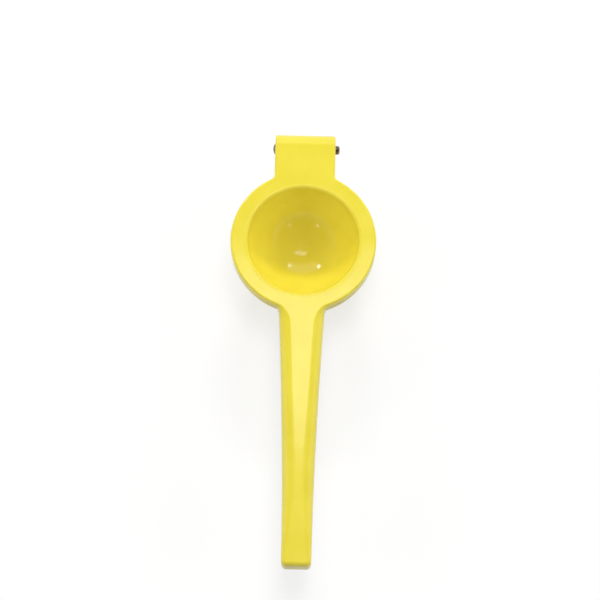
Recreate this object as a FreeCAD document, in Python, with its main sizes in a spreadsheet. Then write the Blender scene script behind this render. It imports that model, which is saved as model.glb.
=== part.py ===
"""Hinged lemon squeezer: two enamelled aluminium castings and the steel rivet that joins them.

The upper arm carries the press cup, the lower arm carries the strainer bowl, and the rivet
through the knuckle at the back lets the upper arm swing up. Lengths are in millimetres.
+X is to the right, +Y points from the bowl to the hinge, -Y runs along the handles and +Z is up.
The origin is the centre of the round foot under the strainer bowl.
"""
import FreeCAD, Part
import math
import os
import re
import Sketcher

SIZES = [
    # name, size, what it is
    ("ring_thickness", 3.8, "upper rim, top to underside"),
    ("rim_thickness", 3.6, "lower rim, top to underside"),
    ("rim_gap", 0.3, "air left between the closed rims"),
    ("bowl_radius", 31.8, "inside of the strainer bowl, a sphere"),
    ("rim_width", 4.2, "both rims reach this far out from the bowl's sphere"),
    ("bowl_depth", 31.0, "lower rim down to the floor of the bowl"),
    ("bowl_wall", 2.4, "wall of the strainer bowl"),
    ("foot_radius", 9.0, "round foot under the bowl"),
    ("foot_floor", 2.6, "floor of the bowl above the foot's face"),
    ("hole_radius", 2.0, "drain holes"),
    ("inner_circle", 12.6, "radius of the inner circle of drain holes"),
    ("outer_circle", 19.4, "radius of the outer circle of drain holes"),
    ("inner_holes", 8, "drain holes in the inner circle"),
    ("outer_holes", 12, "drain holes in the outer circle"),
    ("cup_clearance", 1.5, "sphere of the cup's outside is this much smaller than the bowl's"),
    ("squeeze_gap", 8.8, "floor of the bowl up to the closed cup"),
    ("cup_wall", 2.3, "wall of the press cup"),
    ("cup_lip", 1.3, "rounding where the upper rim turns down into the cup"),
    ("root_overlap", 6.0, "how far the handle's outline starts inside the rim"),
    ("handle_length", 128.6, "from the rim to the end of the handles"),
    ("root_width", 23.2, "handle width at its root"),
    ("end_width", 14.5, "handle width at its end"),
    ("side_radius", 2450.0, "slow curve of the handle's two sides"),
    ("shoulder_start", 8.0, "from the rim to where the handle's shoulders begin"),
    ("crown_place", 94.0, "from the rim to where the handle's top is roundest"),
    ("grip_setback", 2.6, "lower handle ends this far before the upper one"),
    ("handle_depth", 8.4, "upper handle, top to its open edge"),
    ("grip_depth", 9.4, "lower handle, open edge to its underside"),
    ("handle_gap", 0.5, "air left between the closed handles"),
    ("handle_wall", 2.3, "wall of both channel handles"),
    ("rim_clearance", 0.6, "air between the lower rim and the upper handle's walls"),
    ("channel_margin", 4.0, "from the rim to where the handle channels begin"),
    ("edge_radius", 1.0, "rounding of the rim and the hinge block"),
    ("rim_edge", 0.8, "rounding of the lower rim"),
    ("seam_radius", 0.5, "rounding of the handles' open edges"),
    ("cup_blend", 1.5, "blend from the upper rim's underside to the cup"),
    ("corner_radius", 2.5, "corners of the handle's end, seen from above"),
    ("root_radius", 3.0, "blend from the rim to the handle and the hinge block, seen from above"),
    ("shoulder_radius", 5.4, "rounding of the handle's shoulders where they begin"),
    ("crown_radius", 5.8, "rounding of the handle's shoulders where its top is roundest"),
    ("end_radius", 2.1, "rounding of the handle at its end"),
    ("tab_width", 30.0, "hinge block"),
    ("pin_reach", 14.2, "from the rim to the rivet's axis"),
    ("barrel_radius", 7.0, "outside of the hinge block about the rivet"),
    ("cheek_thickness", 3.6, "each cheek of the hinge block"),
    ("web_thickness", 2.4, "hood over the knuckle"),
    ("hood_wrap", 95.0, "how far the hood wraps over the knuckle, in degrees from the top"),
    ("knuckle_gap", 0.4, "air between the knuckle and the hood"),
    ("side_gap", 0.3, "air between the knuckle and each cheek"),
    ("tongue_thickness", 4.8, "tongue from the lower rim to the knuckle"),
    ("pin_radius", 2.0, "rivet's shank"),
    ("pin_clearance", 0.05, "air around the shank in every bore"),
    ("head_radius", 3.0, "rivet's domed head"),
    ("head_height", 1.1, "rivet's domed head"),
    ("tail_radius", 2.2, "rivet's closed tail"),
    ("tail_height", 2.1, "rivet's closed tail"),
]

# Two places this near to each other, in millimetres, are the same place
SAME = 0.01

# Sizes that follow from the ones above, so that the pieces keep fitting when one of those changes
DERIVED = {
    "ring_radius": "bowl_radius + rim_width",
    "rim_top": "foot_floor + bowl_depth",
    "ring_under": "rim_top + rim_gap",
    "ring_top": "ring_under + ring_thickness",
    "bowl_centre": "foot_floor + bowl_radius",
    "bowl_outside": "bowl_radius + bowl_wall",
    "bowl_mouth": "sqrt(bowl_radius ^ 2 - (bowl_radius - bowl_depth) ^ 2)",
    "cup_outside": "bowl_radius - cup_clearance",
    "cup_inside": "cup_outside - cup_wall",
    "cup_centre": "foot_floor + squeeze_gap + cup_outside",
    "handle_root": "ring_radius - root_overlap",
    "handle_reach": "ring_radius + handle_length",
    "grip_reach": "handle_reach - grip_setback",
    "shoulder_joint": "ring_radius + shoulder_start",
    "crown_joint": "ring_radius + crown_place",
    "channel_start": "ring_radius + channel_margin",
    "handle_edge": "ring_top - handle_depth",
    "grip_edge": "handle_edge - handle_gap",
    "grip_under": "grip_edge - grip_depth",
    "pin_distance": "ring_radius + pin_reach",
    "pin_height": "ring_top - barrel_radius",
    "bore_radius": "pin_radius + pin_clearance",
    "slot_width": "tab_width - 2 * cheek_thickness",
    "hood_radius": "barrel_radius - web_thickness",
    "knuckle_radius": "hood_radius - knuckle_gap",
    "hinge_start": "sqrt(ring_radius ^ 2 - tab_width ^ 2 / 4) - ring_thickness",
    "toe": "ring_radius + rim_clearance + edge_radius",
    "toe_away": "pin_distance - toe",
    "toe_drop": "barrel_radius - ring_thickness",
    "skirt_angle": "acos(barrel_radius / hypot(toe_away; toe_drop)) - atan(toe_drop / toe_away)",
}

doc = FreeCAD.newDocument("lemon_squeezer")
sheet = doc.addObject("Spreadsheet::Sheet", "Sizes")
for row, (name, size, note) in enumerate(SIZES, start=1):
    sheet.set("A%d" % row, str(size))
    sheet.setAlias("A%d" % row, name)
    sheet.set("B%d" % row, note)
doc.recompute()


def expression(text):
    """Formula for FreeCAD: a name becomes its cell of the sheet, or its own formula in brackets."""
    cells = {name for name, size, note in SIZES}

    def written_out(word):
        if word[0] in DERIVED:
            return "(" + expression(DERIVED[word[0]]) + ")"
        return "Sizes." + word[0] if word[0] in cells else word[0]
    return re.sub("[a-z_]+", written_out, text)


def value(text):
    """Size in millimetres of a formula written with the names above."""
    return float(sheet.evalExpression(expression(text)))


def bind(thing, **formulas):
    for name, text in formulas.items():
        thing.setExpression(name.replace("_at_", "."), expression(text))


def drawing(body, name, plane, lift=None):
    """Empty sketch on one of the body's own origin planes, lifted along that plane's normal."""
    sketch = body.newObject("Sketcher::SketchObject", name)
    support = [feature for feature in body.Origin.OriginFeatures if feature.Role == plane][0]
    sketch.AttachmentSupport = [(support, "")]
    sketch.MapMode = "FlatFace"
    if lift:
        bind(sketch, AttachmentOffset_at_Base_at_z=lift)
    return sketch


def outline(sketch, corners, bends={}):
    """Closed outline through corners, each an across and an up formula.

    A side runs from its corner to the next one. It is straight unless bends gives it a radius
    and a turn: 1 is anticlockwise, -1 is clockwise, and 2 or -2 is the longer way round.
    """
    places = [FreeCAD.Vector(value(across), value(up), 0) for across, up in corners]
    ends = []
    for side, start in enumerate(places):
        finish = places[(side + 1) % len(places)]
        if side not in bends:
            sketch.addGeometry(Part.LineSegment(start, finish))
            ends.append((1, 2))
            continue
        radius_text, turn = bends[side]
        radius = value(radius_text)
        chord = finish - start
        across = FreeCAD.Vector(-chord.y, chord.x, 0) / chord.Length
        reach = math.sqrt(max(radius ** 2 - chord.Length ** 2 / 4, 0))
        hand = 1 if turn in (1, -2) else -1
        centre = (start + finish) / 2 + across * reach * hand
        first, last = (start, finish) if turn > 0 else (finish, start)
        angle_first = math.atan2(first.y - centre.y, first.x - centre.x)
        angle_last = math.atan2(last.y - centre.y, last.x - centre.x)
        if angle_last < angle_first:
            angle_last += 2 * math.pi
        circle = Part.Circle(centre, FreeCAD.Vector(0, 0, 1), radius)
        sketch.addGeometry(Part.ArcOfCircle(circle, angle_first, angle_last))
        ends.append((1, 2) if turn > 0 else (2, 1))
    for side, (across, up) in enumerate(corners):
        before = (side - 1) % len(corners)
        sketch.addConstraint(Sketcher.Constraint("Coincident", before, ends[before][1], side, ends[side][0]))
        for kind, text in (("DistanceX", across), ("DistanceY", up)):
            index = sketch.addConstraint(
                Sketcher.Constraint(kind, -1, 1, side, ends[side][0], value(text)))
            sketch.setExpression("Constraints[%d]" % index, expression(text))
    for side, (radius_text, turn) in bends.items():
        index = sketch.addConstraint(Sketcher.Constraint("Radius", side, value(radius_text)))
        sketch.setExpression("Constraints[%d]" % index, expression(radius_text))
    return sketch


def padded_body(name, plane, corners, bends, length, lift=None, both_ways=False):
    """Body with one sketch and one pad of it."""
    body = doc.addObject("PartDesign::Body", name)
    sketch = outline(drawing(body, name + "Outline", plane, lift), corners, bends)
    pad = body.newObject("PartDesign::Pad", name + "Pad")
    pad.Profile = sketch
    pad.SideType = "Symmetric" if both_ways else "One side"
    bind(pad, Length=length)
    return body


def turned_body(name, corners, bends):
    """Body turned about the bowl's axis from a sketch in the upright XZ plane."""
    body = doc.addObject("PartDesign::Body", name)
    sketch = outline(drawing(body, name + "Outline", "XZ_Plane"), corners, bends)
    turn = body.newObject("PartDesign::Revolution", name + "Turn")
    turn.Profile = sketch
    turn.ReferenceAxis = (sketch, ["V_Axis"])
    turn.Angle = 360
    return body


def disc(name, radius, bottom, height):
    piece = doc.addObject("Part::Cylinder", name)
    bind(piece, Radius=radius, Height=height, Placement_at_Base_at_z=bottom)
    return piece


def cross_bore(name, radius, length):
    """Cylinder along X on the rivet's axis, centred on the arm."""
    piece = doc.addObject("Part::Cylinder", name)
    piece.Placement.Rotation = FreeCAD.Rotation(FreeCAD.Vector(0, 1, 0), 90)
    bind(piece, Radius=radius, Height=length, Placement_at_Base_at_x="-0.5 * " + length,
         Placement_at_Base_at_y="pin_distance", Placement_at_Base_at_z="pin_height")
    return piece


def fuse(name, pieces):
    result = doc.addObject("Part::MultiFuse", name)
    result.Shapes = pieces
    result.Refine = True
    return result


def cut(name, base, tool):
    result = doc.addObject("Part::Cut", name)
    result.Base = base
    result.Tool = tool
    result.Refine = True
    return result


def rounded(name, base, accepts, radius_at):
    """Fillet of every edge that is accepted, with the radius that each of its ends is given.

    Edges that follow one another are walked in one direction, from the first one found, because
    the two radii of an edge are read in the direction of its chain.
    """
    doc.recompute()
    result = doc.addObject("Part::Fillet", name)
    result.Base = base
    waiting = {}
    for number, edge in enumerate(base.Shape.Edges, start=1):
        if accepts(edge):
            waiting[number] = (edge.firstVertex().Point, edge.lastVertex().Point)
    chosen = []
    while waiting:
        number = min(waiting)
        start, finish = waiting.pop(number)
        chosen.append((number, radius_at(start), radius_at(finish)))
        for here, entering in ((finish, True), (start, False)):
            going = True
            while going:
                going = False
                for number, ends in list(waiting.items()):
                    near = [end for end in ends if end.distanceToPoint(here) < SAME]
                    if near:
                        far = ends[1] if near[0] == ends[0] else ends[0]
                        radii = (radius_at(here), radius_at(far))
                        chosen.append((number,) + (radii if entering else radii[::-1]))
                        del waiting[number]
                        here = far
                        going = True
                        break
    result.Edges = sorted(chosen)
    return result


def is_upright(edge):
    first, last = edge.Vertexes[0].Point, edge.Vertexes[-1].Point
    return is_near(first.x, last.x) and is_near(first.y, last.y) and abs(first.z - last.z) > 1


# Places along a handle's sides, from the bowl's axis, where its fillet is given a radius
SIDE_JOINTS = ["shoulder_joint", "(shoulder_joint + crown_joint) / 2",
               "crown_joint", "(crown_joint + handle_reach) / 2"]


def handle_prism(name, bottom, depth, reach="handle_reach", inset="0"):
    """Straight-sided block with the outline of a handle, or of what is left inside its walls.

    Each side is one slow curve, with joints where the rounding of the shoulders changes.
    """
    start = "(root_width / 2 - " + inset + ")"
    finish = "(end_width / 2 - " + inset + ")"
    length = "(handle_reach - " + inset + " - handle_root)"
    chord = "hypot(" + start + " - " + finish + "; " + length + ")"
    away = "sqrt(side_radius ^ 2 - " + chord + " ^ 2 / 4)"
    centre_x = "((" + start + " + " + finish + ") / 2 + " + length + " / " + chord + " * " + away + ")"
    centre_y = ("(-1 * handle_root - " + length + " / 2 + (" + finish + " - " + start + ") / "
                + chord + " * " + away + ")")
    right = [(start, "-1 * handle_root")]
    for along in SIDE_JOINTS + ["(" + reach + " - " + inset + ")"]:
        across = centre_x + " - sqrt(side_radius ^ 2 - (" + along + " + " + centre_y + ") ^ 2)"
        right.append((across, "-1 * " + along))
    left = [("-1 * (" + across + ")", up) for across, up in reversed(right)]
    end, root = len(right) - 1, 2 * len(right) - 1
    bends = {side: ("side_radius", 1) for side in range(root) if side != end}
    return padded_body(name, "XY_Plane", right + left, bends, depth, lift=bottom)


def is_near(number, size):
    return abs(number - size) < SAME


def is_circle(edge):
    return isinstance(edge.Curve, Part.Circle)


def is_at_end(place):
    return is_near(place.y, -value("handle_reach")) or is_near(place.y, -value("grip_reach"))


def ends_handle(edge):
    """The two upright corners at the end of a handle."""
    return is_upright(edge) and is_at_end(edge.Vertexes[0].Point)


def meets_rim(edge):
    """Upright edges where a handle or the hinge block leaves the round rim."""
    place = edge.Vertexes[0].Point
    on_rim = is_near(math.hypot(place.x, place.y), value("ring_radius"))
    return is_upright(edge) and on_rim and abs(place.x) > 1


def corner_radius_at(place):
    return value("corner_radius") if is_at_end(place) else value("root_radius")


def shoulder_at(place, reach="handle_reach"):
    """Rounding of a handle's long edge at a place on it, and of the rim and hinge beyond it."""
    stations = [(value("shoulder_joint"), value("shoulder_radius")),
                (value("crown_joint"), value("crown_radius")),
                (value(reach + " - corner_radius"), value("end_radius"))]
    along = -place.y
    if along < stations[0][0] - SAME:
        beyond_rim = along > 0 and math.hypot(place.x, place.y) > value("ring_radius") + SAME
        return (value("edge_radius") + stations[0][1]) / 2 if beyond_rim else value("edge_radius")
    for (here, radius), (there, next_radius) in zip(stations, stations[1:]):
        if along < there + SAME:
            return radius + (next_radius - radius) * (along - here) / (there - here)
    return stations[-1][1]


def is_level(edge, height):
    return all(is_near(vertex.Point.z, height) for vertex in edge.Vertexes)


def is_level_seam(edge, height):
    """Edge of a handle's open side; the root, which lies inside the rim, isn't one."""
    box = edge.BoundBox
    at_root = all(is_near(vertex.Point.y, -value("handle_root")) for vertex in edge.Vertexes)
    return is_level(edge, height) and is_near(box.ZMin, box.ZMax) and not at_root


def rims_upper_arm(edge):
    """Edge round the top of the upper arm, and the sides of its barrel."""
    box = edge.BoundBox
    crosses = all(is_near(vertex.Point.y, value("pin_distance")) for vertex in edge.Vertexes)
    beside = is_near(abs(box.XMin), value("tab_width / 2")) and is_near(box.XMin, box.XMax)
    on_barrel = beside and not is_upright(edge) and box.YMax > value("toe") + SAME
    return on_barrel or (is_level(edge, value("ring_top")) and not crosses)


def meets_cup(edge):
    """Circle where the press cup meets the underside of the upper rim."""
    across = value("sqrt(cup_outside ^ 2 - (cup_centre - ring_under) ^ 2)")
    round_axis = all(is_near(math.hypot(vertex.Point.x, vertex.Point.y), across) for vertex in edge.Vertexes)
    return is_level(edge, value("ring_under")) and round_axis and is_circle(edge)


def rims_lower_handle(edge):
    """Edge round the underside of the lower handle, without its root."""
    return is_level_seam(edge, value("grip_under"))


def grip_radius_at(place):
    on_handle = -place.y > value("shoulder_joint")
    return shoulder_at(place, "grip_reach") if on_handle else value("shoulder_radius")


def channel(name, bottom, height, reach="handle_reach"):
    """What is taken out of a handle to leave its walls."""
    core = handle_prism(name + "Core", bottom, height, reach, inset="handle_wall")
    keep = disc(name + "Keep", "channel_start", bottom + " - 1", height + " + 2")
    return cut(name, core, keep)


def upper_arm():
    handle = handle_prism("UpperHandle", "handle_edge", "handle_depth")
    ring = disc("UpperDisc", "ring_radius", "handle_edge", "handle_depth")
    hinge = padded_body(
        "HingeBlock", "YZ_Plane",
        [("hinge_start", "ring_top"), ("pin_distance", "ring_top"),
         ("pin_distance - barrel_radius * cos(skirt_angle)", "pin_height - barrel_radius * sin(skirt_angle)"),
         ("toe", "ring_under"), ("hinge_start", "ring_under")],
        {1: ("barrel_radius", -2)}, "tab_width", both_ways=True)
    blank = fuse("UpperBlank", [ring, handle, hinge])
    corners = rounded("UpperCorners", blank, lambda edge: ends_handle(edge) or meets_rim(edge),
                      corner_radius_at)
    edges = rounded("UpperEdges", corners, rims_upper_arm, shoulder_at)
    under = disc("UnderRim", "ring_radius + rim_clearance",
                 "handle_edge - 1", "handle_depth - ring_thickness + 1")
    trimmed = cut("UpperTrimmed", edges, under)
    channelled = cut("UpperChannelled", trimmed,
                     channel("UpperChannel", "handle_edge - 1", "handle_depth - handle_wall + 1"))
    opened = rounded("UpperSeam", channelled, lambda edge: is_level_seam(edge, value("handle_edge")),
                     lambda place: value("seam_radius"))
    seat = "(ring_under + ring_thickness / 2)"
    dome = turned_body(
        "CupOutside",
        [("0", "cup_centre - cup_outside"), ("sqrt(cup_outside ^ 2 - (cup_centre - " + seat + ") ^ 2)", seat),
         ("0", seat)],
        {0: ("cup_outside", 1)})
    with_dome = fuse("UpperDomed", [opened, dome])
    blended = rounded("CupBlend", with_dome, meets_cup, lambda place: value("cup_blend"))
    share = "(cup_inside / (cup_inside + cup_lip))"
    lip_height = "(cup_centre - ring_top + cup_lip)"
    lip_x = "sqrt((cup_inside + cup_lip) ^ 2 - " + lip_height + " ^ 2)"
    hollow = turned_body(
        "CupInside",
        [("0", "cup_centre - cup_inside"),
         (lip_x + " * " + share, "cup_centre - " + lip_height + " * " + share),
         (lip_x, "ring_top"), (lip_x, "ring_top + cup_lip"), ("0", "ring_top + cup_lip")],
        {0: ("cup_inside", 1), 1: ("cup_lip", -1)})
    hollowed = cut("UpperHollowed", blended, hollow)
    far = "2 * barrel_radius"
    slot = padded_body(
        "KnuckleSlot", "YZ_Plane",
        [("ring_radius", "ring_under"),
         ("pin_distance - sqrt(hood_radius ^ 2 - toe_drop ^ 2)", "ring_under"),
         ("pin_distance + hood_radius * sin(hood_wrap * 1deg)",
          "pin_height + hood_radius * cos(hood_wrap * 1deg)"),
         ("pin_distance + " + far + " * sin(hood_wrap * 1deg)",
          "pin_height + " + far + " * cos(hood_wrap * 1deg)"),
         ("pin_distance + " + far, "pin_height - " + far),
         ("ring_radius", "pin_height - " + far)],
        {1: ("hood_radius", -1)}, "slot_width", both_ways=True)
    slotted = cut("UpperSlotted", hollowed, slot)
    return cut("UpperArm", slotted, cross_bore("CheekBore", "bore_radius", "(tab_width + 2)"))


def drain_holes(name, circle, count):
    """One circle of upright holes through the bowl."""
    body = doc.addObject("PartDesign::Body", name)
    sketch = drawing(body, name + "Outline", "XY_Plane", "-1 * bowl_wall")
    middle = FreeCAD.Vector(value(circle), 0, 0)
    sketch.addGeometry(Part.Circle(middle, FreeCAD.Vector(0, 0, 1), value("hole_radius")))
    for constraint, text in (
            (Sketcher.Constraint("DistanceX", -1, 1, 0, 3, value(circle)), circle),
            (Sketcher.Constraint("Radius", 0, value("hole_radius")), "hole_radius")):
        index = sketch.addConstraint(constraint)
        sketch.setExpression("Constraints[%d]" % index, expression(text))
    sketch.addConstraint(Sketcher.Constraint("PointOnObject", 0, 3, -1))
    pad = body.newObject("PartDesign::Pad", name + "Pad")
    pad.Profile = sketch
    bind(pad, Length="bowl_radius")
    pattern = body.newObject("PartDesign::PolarPattern", name + "Pattern")
    pattern.Originals = [pad]
    pattern.Axis = (sketch, ["N_Axis"])
    pattern.Angle = 360
    bind(pattern, Occurrences=count)
    body.Tip = pattern
    return body


def lower_arm():
    handle = handle_prism("LowerHandle", "grip_under", "grip_depth", "grip_reach")
    corners = rounded("LowerCorners", handle, ends_handle, corner_radius_at)
    shaped = rounded("LowerGrip", corners, rims_lower_handle, grip_radius_at)
    grip = rounded("LowerSeam", shaped, lambda edge: is_level_seam(edge, value("grip_edge")),
                   lambda place: value("seam_radius"))
    plate = disc("LowerRim", "ring_radius", "rim_top - rim_thickness", "rim_thickness")
    rim = rounded("LowerRimEdges", plate, is_circle, lambda place: value("rim_edge"))
    seat = "(rim_top - rim_thickness / 2)"
    bowl = turned_body(
        "BowlOutside",
        [("0", "0"), ("foot_radius", "0"),
         ("foot_radius", "bowl_centre - sqrt(bowl_outside ^ 2 - foot_radius ^ 2)"),
         ("sqrt(bowl_outside ^ 2 - (bowl_centre - " + seat + ") ^ 2)", seat), ("0", seat)],
        {2: ("bowl_outside", 1)})
    rise = "(rim_top - pin_height)"
    tongue = padded_body(
        "Tongue", "YZ_Plane",
        [("hinge_start", "rim_top"),
         ("pin_distance - sqrt(knuckle_radius ^ 2 - " + rise + " ^ 2)", "rim_top"),
         ("pin_distance - sqrt(knuckle_radius ^ 2 - (tongue_thickness - " + rise + ") ^ 2)",
          "rim_top - tongue_thickness"),
         ("hinge_start", "rim_top - tongue_thickness")],
        {1: ("knuckle_radius", -2)}, "slot_width - 2 * side_gap", both_ways=True)
    blank = fuse("LowerBlank", [bowl, rim, grip, tongue])
    hollow = turned_body(
        "BowlInside",
        [("0", "foot_floor"), ("bowl_mouth", "rim_top"), ("bowl_mouth", "rim_top + 1"), ("0", "rim_top + 1")],
        {0: ("bowl_radius", 1)})
    hollowed = cut("LowerHollowed", blank, hollow)
    opened = cut("LowerChannelled", hollowed,
                 channel("LowerChannel", "grip_under + handle_wall", "grip_depth", "grip_reach"))
    inner = cut("LowerInnerHoles", opened, drain_holes("InnerDrain", "inner_circle", "inner_holes"))
    outer = cut("LowerOuterHoles", inner, drain_holes("OuterDrain", "outer_circle", "outer_holes"))
    return cut("LowerArm", outer, cross_bore("TongueBore", "bore_radius", "(tab_width + 2)"))


def hinge_pin():
    """Rivet turned about its own axis, then laid across the hinge."""
    body = doc.addObject("PartDesign::Body", "HingePin")
    head_face = "(-0.5 * tab_width)"
    tail_face = "(0.5 * tab_width)"
    tail_round = "(tail_radius / 2)"
    corners = [
        (head_face + " - head_height", "0"), (head_face, "head_radius"), (head_face, "pin_radius"),
        (tail_face, "pin_radius"), (tail_face, "tail_radius"),
        (tail_face + " + tail_height - " + tail_round, "tail_radius"),
        (tail_face + " + tail_height", "tail_radius - " + tail_round), (tail_face + " + tail_height", "0")]
    bends = {0: ("((head_radius ^ 2 + head_height ^ 2) / (2 * head_height))", -1), 5: (tail_round, -1)}
    sketch = outline(drawing(body, "PinOutline", "XY_Plane"), corners, bends)
    turn = body.newObject("PartDesign::Revolution", "PinTurn")
    turn.Profile = sketch
    turn.ReferenceAxis = (sketch, ["H_Axis"])
    turn.Angle = 360
    bind(body, Placement_at_Base_at_y="pin_distance", Placement_at_Base_at_z="pin_height")
    return body


def check_and_write(pieces):
    """Every object must have built and every piece must be one sound solid before any is written."""
    doc.recompute()
    for thing in doc.Objects:
        if "Invalid" in thing.State or "Error" in thing.State:
            raise RuntimeError("%s did not build: %s" % (thing.Name, thing.getStatusString()))
    for label, piece in pieces.items():
        piece.Label = label
        if piece.Shape.isNull() or not piece.Shape.isValid() or len(piece.Shape.Solids) != 1:
            raise RuntimeError(label + " is not one sound solid")
    os.makedirs("parts", exist_ok=True)
    for label, piece in pieces.items():
        piece.Shape.exportStep("parts/" + label + ".step")
        print(label, "%.0f cubic millimetres" % piece.Shape.Volume)


check_and_write({"upper_arm": upper_arm(), "lower_arm": lower_arm(), "hinge_pin": hinge_pin()})
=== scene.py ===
"""Hinged lemon squeezer in glossy yellow enamel with a dull steel rivet, seen from above the handles.

The three CAD pieces are kept as they are and get their finishes here. Everything is in metres:
+X is to the right, +Y points from the bowl to the hinge, -Y along the handles and +Z is up.
"""

import math

import bpy
from mathutils import Matrix, Vector

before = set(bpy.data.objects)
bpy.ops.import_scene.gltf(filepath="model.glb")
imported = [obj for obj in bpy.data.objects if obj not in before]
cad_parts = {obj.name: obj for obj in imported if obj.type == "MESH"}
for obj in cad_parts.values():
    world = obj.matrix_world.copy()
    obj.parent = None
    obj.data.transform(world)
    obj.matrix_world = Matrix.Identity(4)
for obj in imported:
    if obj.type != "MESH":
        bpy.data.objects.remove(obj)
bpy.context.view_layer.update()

# Width of the picture in pixels, and of the camera's sensor in millimetres
PICTURE_WIDTH = 600
SENSOR_WIDTH = 36.0
# Every lamp faces this point, near the front of the bowl
LIT_POINT = Vector((0, -0.03, 0.03))


def linear(hex_colour):
    """Linear colour of an sRGB hex value such as #F2DC3C."""
    channels = []
    for place in (1, 3, 5):
        shade = int(hex_colour[place:place + 2], 16) / 255
        channels.append(shade / 12.92 if shade <= 0.04045 else ((shade + 0.055) / 1.055) ** 2.4)
    return (*channels, 1.0)


def add_node(tree, kind, settings=None, inputs=None):
    """Node with its settings; an input is a plain value or the output of another node."""
    node = tree.nodes.new(kind)
    for name, setting in (settings or {}).items():
        setattr(node, name, setting)
    for name, given in (inputs or {}).items():
        if isinstance(given, bpy.types.NodeSocket):
            tree.links.new(given, node.inputs[name])
        else:
            node.inputs[name].default_value = given
    return node


def new_material(name):
    material = bpy.data.materials.new(name)
    material.use_nodes = True
    material.node_tree.nodes.clear()
    return material


def spots_per_metre(millimetres):
    """Scale of a noise whose spots are this far apart."""
    return 1000 / millimetres


# Finishes

def yellow_enamel():
    """Stoved enamel on die-cast aluminium: one warm lemon yellow under a clear wet gloss.

    The eye sees a slow unevenness of the casting through it and the faint orange peel that the
    sprayed coat sets with. The coat is thick, so it rounds every edge that it runs over.
    """
    material = new_material("stoved_enamel_lemon_yellow")
    tree = material.node_tree
    place = add_node(tree, "ShaderNodeTexCoord").outputs["Object"]
    cloud = add_node(tree, "ShaderNodeTexNoise", inputs={
        "Vector": place, "Scale": spots_per_metre(18), "Detail": 3.0, "Roughness": 0.5})
    tone = add_node(tree, "ShaderNodeValToRGB", inputs={"Fac": cloud.outputs["Fac"]})
    tone.color_ramp.elements[0].position = 0.35
    tone.color_ramp.elements[0].color = linear("#EDDB42")
    tone.color_ramp.elements[1].position = 0.65
    tone.color_ramp.elements[1].color = linear("#F1E049")
    peel = add_node(tree, "ShaderNodeTexNoise", inputs={
        "Vector": place, "Scale": spots_per_metre(2.2), "Detail": 2.0, "Roughness": 0.45})
    swell = add_node(tree, "ShaderNodeTexNoise", inputs={
        "Vector": place, "Scale": spots_per_metre(14), "Detail": 1.0, "Roughness": 0.5})
    thick_coat = add_node(tree, "ShaderNodeBevel", {"samples": 6}, {"Radius": 0.001})
    casting = add_node(tree, "ShaderNodeBump", inputs={
        "Strength": 0.25, "Distance": 0.0003, "Height": swell.outputs["Fac"],
        "Normal": thick_coat.outputs["Normal"]})
    coat_skin = add_node(tree, "ShaderNodeBump", inputs={
        "Strength": 0.25, "Distance": 0.00003, "Height": peel.outputs["Fac"],
        "Normal": casting.outputs["Normal"]})
    haze = add_node(tree, "ShaderNodeMapRange", inputs={
        "Value": cloud.outputs["Fac"], "From Min": 0.3, "From Max": 0.7, "To Min": 0.09, "To Max": 0.14})
    body = add_node(tree, "ShaderNodeBsdfPrincipled", inputs={
        "Base Color": tone.outputs["Color"], "Roughness": haze.outputs["Result"], "IOR": 1.48,
        "Metallic": 0.0, "Normal": coat_skin.outputs["Normal"]})
    add_node(tree, "ShaderNodeOutputMaterial", inputs={"Surface": body.outputs["BSDF"]})
    return material


def rivet_steel():
    """Plain steel wire, cold headed and gone dull: a brownish grey metal with small duller patches."""
    material = new_material("dull_steel_rivet")
    tree = material.node_tree
    place = add_node(tree, "ShaderNodeTexCoord").outputs["Object"]
    patches = add_node(tree, "ShaderNodeTexNoise", inputs={
        "Vector": place, "Scale": spots_per_metre(1.2), "Detail": 4.0, "Roughness": 0.6})
    tone = add_node(tree, "ShaderNodeValToRGB", inputs={"Fac": patches.outputs["Fac"]})
    tone.color_ramp.elements[0].position = 0.3
    tone.color_ramp.elements[0].color = linear("#63594B")
    tone.color_ramp.elements[1].position = 0.7
    tone.color_ramp.elements[1].color = linear("#94876F")
    dullness = add_node(tree, "ShaderNodeMapRange", inputs={
        "Value": patches.outputs["Fac"], "From Min": 0.3, "From Max": 0.7, "To Min": 0.24, "To Max": 0.38})
    marks = add_node(tree, "ShaderNodeBump", inputs={
        "Strength": 0.2, "Distance": 0.00002, "Height": patches.outputs["Fac"]})
    body = add_node(tree, "ShaderNodeBsdfPrincipled", inputs={
        "Base Color": tone.outputs["Color"], "Roughness": dullness.outputs["Result"],
        "Metallic": 1.0, "Normal": marks.outputs["Normal"]})
    add_node(tree, "ShaderNodeOutputMaterial", inputs={"Surface": body.outputs["BSDF"]})
    return material


def finish_piece(node_name, material):
    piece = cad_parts[node_name]
    for slot in piece.material_slots:
        slot.material = material


# Studio

def seen_directly(tree):
    """1 for rays that show the background: from the camera, in a reflection or through glass."""
    path = add_node(tree, "ShaderNodeLightPath")
    either = add_node(tree, "ShaderNodeMath", {"operation": "MAXIMUM"})
    tree.links.new(path.outputs["Is Camera Ray"], either.inputs[0])
    tree.links.new(path.outputs["Is Glossy Ray"], either.inputs[1])
    any_of = add_node(tree, "ShaderNodeMath", {"operation": "MAXIMUM"})
    tree.links.new(either.outputs[0], any_of.inputs[0])
    tree.links.new(path.outputs["Is Transmission Ray"], any_of.inputs[1])
    return any_of.outputs[0]


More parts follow.
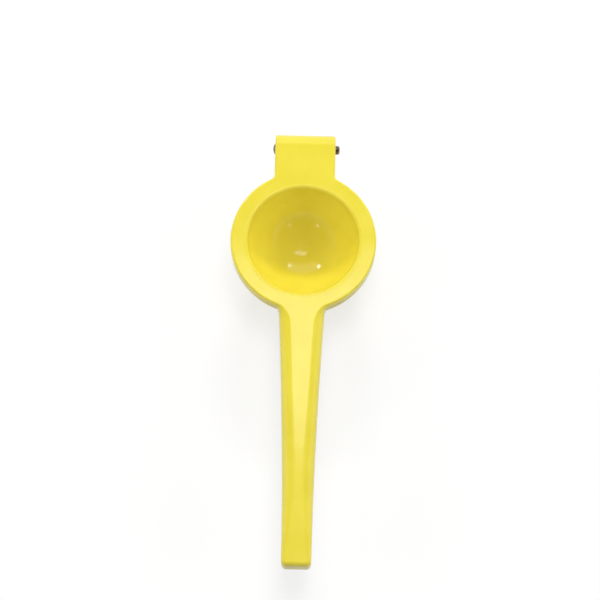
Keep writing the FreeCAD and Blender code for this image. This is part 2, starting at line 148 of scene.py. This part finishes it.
def white_walls_dim_ceiling(fill):
    """Room that the camera and the gloss see as white walls under a dim ceiling.

    fill is the soft light that it gives from all round.
    """
    world = bpy.data.worlds.new("studio")
    bpy.context.scene.world = world
    world.use_nodes = True
    tree = world.node_tree
    tree.nodes.clear()
    way = add_node(tree, "ShaderNodeTexCoord").outputs["Generated"]
    height = add_node(tree, "ShaderNodeSeparateXYZ", inputs={"Vector": way}).outputs["Z"]
    room = add_node(tree, "ShaderNodeMapRange", {"interpolation_type": "SMOOTHSTEP"}, {
        "Value": height, "From Min": 0.2, "From Max": 0.62, "To Min": 1.0, "To Max": 0.12})
    strength = add_node(tree, "ShaderNodeMix", {"data_type": "FLOAT"})
    tree.links.new(seen_directly(tree), strength.inputs[0])
    strength.inputs[2].default_value = fill
    tree.links.new(room.outputs["Result"], strength.inputs[3])
    light = add_node(tree, "ShaderNodeBackground", inputs={
        "Color": (1.0, 1.0, 1.0, 1.0), "Strength": strength.outputs[0]})
    add_node(tree, "ShaderNodeOutputWorld", inputs={"Surface": light.outputs["Background"]})


def pale_floor(half_width, glow):
    """Plain white table top that keeps the squeezer's soft shadow.

    glow is the part of its white that only the camera and reflections see.
    """
    mesh = bpy.data.meshes.new("table_top")
    corners = [(-half_width, -half_width, 0), (half_width, -half_width, 0),
               (half_width, half_width, 0), (-half_width, half_width, 0)]
    mesh.from_pydata(corners, [], [(0, 1, 2, 3)])
    floor = bpy.data.objects.new("table_top", mesh)
    bpy.context.scene.collection.objects.link(floor)
    material = new_material("matt_white_table")
    tree = material.node_tree
    lit = add_node(tree, "ShaderNodeBsdfDiffuse", inputs={"Color": linear("#A0A0A0")})
    shine = add_node(tree, "ShaderNodeEmission", inputs={
        "Color": (glow, glow, glow, 1.0), "Strength": seen_directly(tree)})
    both = add_node(tree, "ShaderNodeAddShader")
    tree.links.new(lit.outputs[0], both.inputs[0])
    tree.links.new(shine.outputs[0], both.inputs[1])
    add_node(tree, "ShaderNodeOutputMaterial", inputs={"Surface": both.outputs[0]})
    mesh.materials.append(material)


def soft_box(name, direction, distance, width, height, brightness, in_gloss=True, top=(0, 0, 1)):
    """Rectangular lamp facing the bowl, its upper edge towards top.

    brightness is what a mirror would show of its face; in_gloss says whether the enamel mirrors it.
    """
    lamp = bpy.data.lights.new(name, "AREA")
    lamp.shape = "RECTANGLE"
    lamp.size = width
    lamp.size_y = height
    lamp.energy = brightness * math.pi * width * height
    holder = bpy.data.objects.new(name, lamp)
    bpy.context.scene.collection.objects.link(holder)
    holder.visible_glossy = in_gloss
    aim = Vector(direction).normalized()
    across = Vector(top).cross(aim).normalized()
    place = Matrix((across, aim.cross(across), aim)).transposed().to_4x4()
    place.translation = LIT_POINT + aim * distance
    holder.matrix_world = place


def photo_camera(azimuth, elevation, roll, distance, scale, middle):
    """Camera at the photograph's angle, in degrees, looking at middle from distance.

    scale is pixels per metre at the point it looks at.
    """
    lens = bpy.data.cameras.new("photo_camera")
    lens.sensor_width = SENSOR_WIDTH
    lens.lens = scale * distance * SENSOR_WIDTH / PICTURE_WIDTH
    lens.clip_end = 20.0
    camera = bpy.data.objects.new("photo_camera", lens)
    bpy.context.scene.collection.objects.link(camera)
    bpy.context.scene.camera = camera
    turn = math.radians(azimuth)
    rise = math.radians(elevation)
    back = Vector((-math.sin(turn) * math.cos(rise), -math.cos(turn) * math.cos(rise), math.sin(rise)))
    right = Vector((0, 0, 1)).cross(back).normalized()
    up = back.cross(right)
    lean = math.radians(roll)
    across = right * math.cos(lean) + up * math.sin(lean)
    upward = up * math.cos(lean) - right * math.sin(lean)
    place = Matrix((across, upward, back)).transposed().to_4x4()
    place.translation = Vector(middle) + back * distance
    camera.matrix_world = place


enamel = yellow_enamel()
finish_piece("upper_arm", enamel)
finish_piece("lower_arm", enamel)
finish_piece("hinge_pin", rivet_steel())

bpy.context.scene.view_settings.view_transform = "Standard"
white_walls_dim_ceiling(fill=0.26)
pale_floor(half_width=3.0, glow=0.66)
# Lamps: name, direction, distance, width, height and brightness
# The first is the rectangle that the press cup mirrors
soft_box("overhead_box", (0.08, 0.265, 0.96), 1.0, 0.41, 0.14, 3.9, top=(0, 1, 0))
soft_box("back_left_lamp", (-0.455, 0.679, 0.578), 1.2, 0.13, 0.13, 15.0)
soft_box("back_right_lamp", (0.39, 0.684, 0.616), 1.2, 0.13, 0.13, 7.0)
soft_box("front_left_lamp", (-0.484, -0.619, 0.611), 1.2, 0.12, 0.12, 3.9)
soft_box("front_right_lamp", (0.484, -0.619, 0.611), 1.2, 0.12, 0.12, 2.5)
soft_box("back_panel", (0.0, 0.76, 0.65), 1.3, 1.3, 0.6, 1.1)
# These only light the colour of the enamel: its gloss doesn't show them
soft_box("back_key", (0.03, 0.88, 0.46), 1.3, 0.36, 0.12, 41.0, in_gloss=False)
soft_box("top_fill", (0.05, 0.10, 0.99), 1.3, 0.4, 0.4, 7.2, in_gloss=False)
soft_box("left_panel", (-0.92, -0.15, 0.36), 1.2, 0.9, 0.6, 3.0, in_gloss=False)
soft_box("right_panel", (0.92, -0.15, 0.36), 1.2, 0.9, 0.6, 3.0, in_gloss=False)
photo_camera(azimuth=0.0, elevation=72.0, roll=1.3, distance=1.65, scale=2030.0,
             middle=(-0.0010, -0.0286, 0.03))
